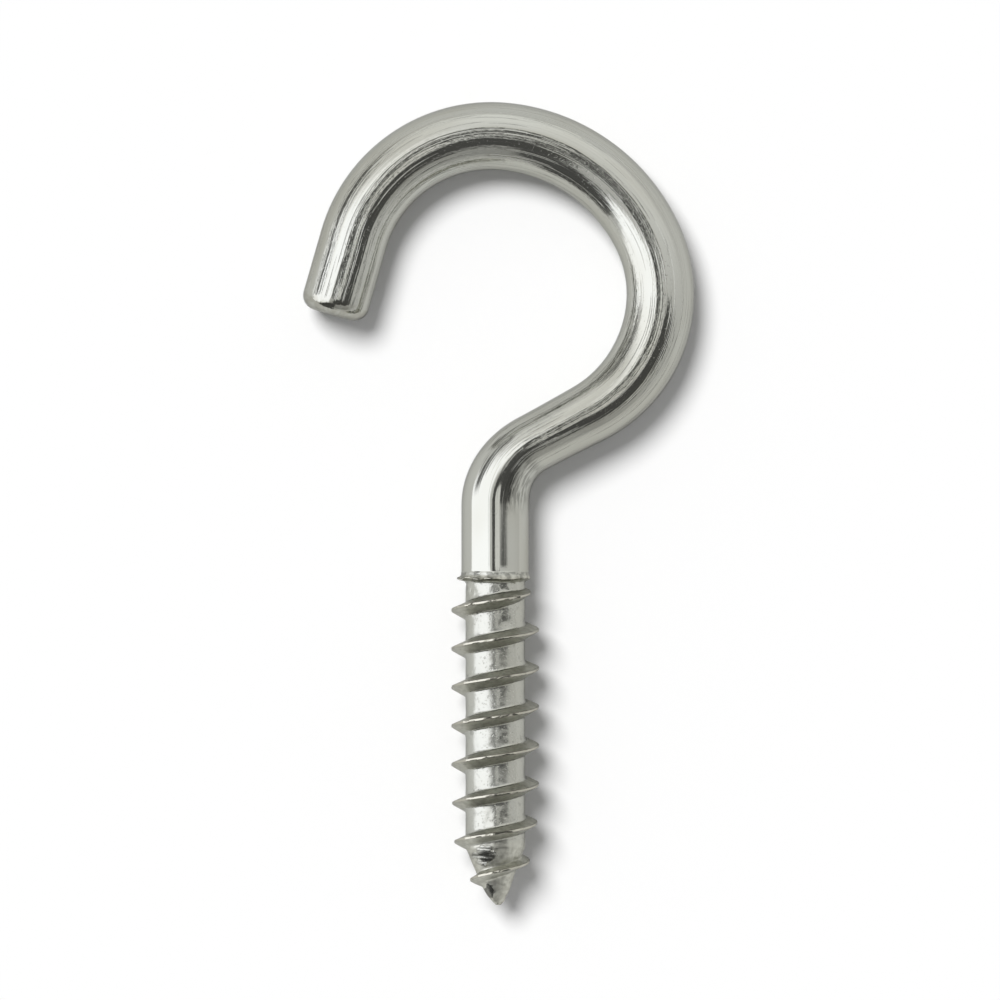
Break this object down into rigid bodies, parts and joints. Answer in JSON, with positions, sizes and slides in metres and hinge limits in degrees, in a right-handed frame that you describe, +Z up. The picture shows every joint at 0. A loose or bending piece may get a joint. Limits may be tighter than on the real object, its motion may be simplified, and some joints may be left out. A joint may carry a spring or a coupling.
{
  "type": "screw hook",
  "caption": "Open question-mark hook bent from zinc-plated steel wire, with a right-hand wood-screw thread and gimlet point, for hanging things from timber.",
  "frame": {"origin": "centre of the hook's footprint, on the surface that it lies on", "axes": "+Y from the screw's point towards the bowl, +X away from the bowl's mouth, +Z up from the surface"},
  "size_m": [0.0244, 0.05, 0.0057],
  "materials": {
    "zinc": "bright zinc plate over drawn wire, with fine lengthwise streaks"
  },
  "bodies": {
    "root": {"screw_hook": "zinc"}
  },
  "joints": []
}
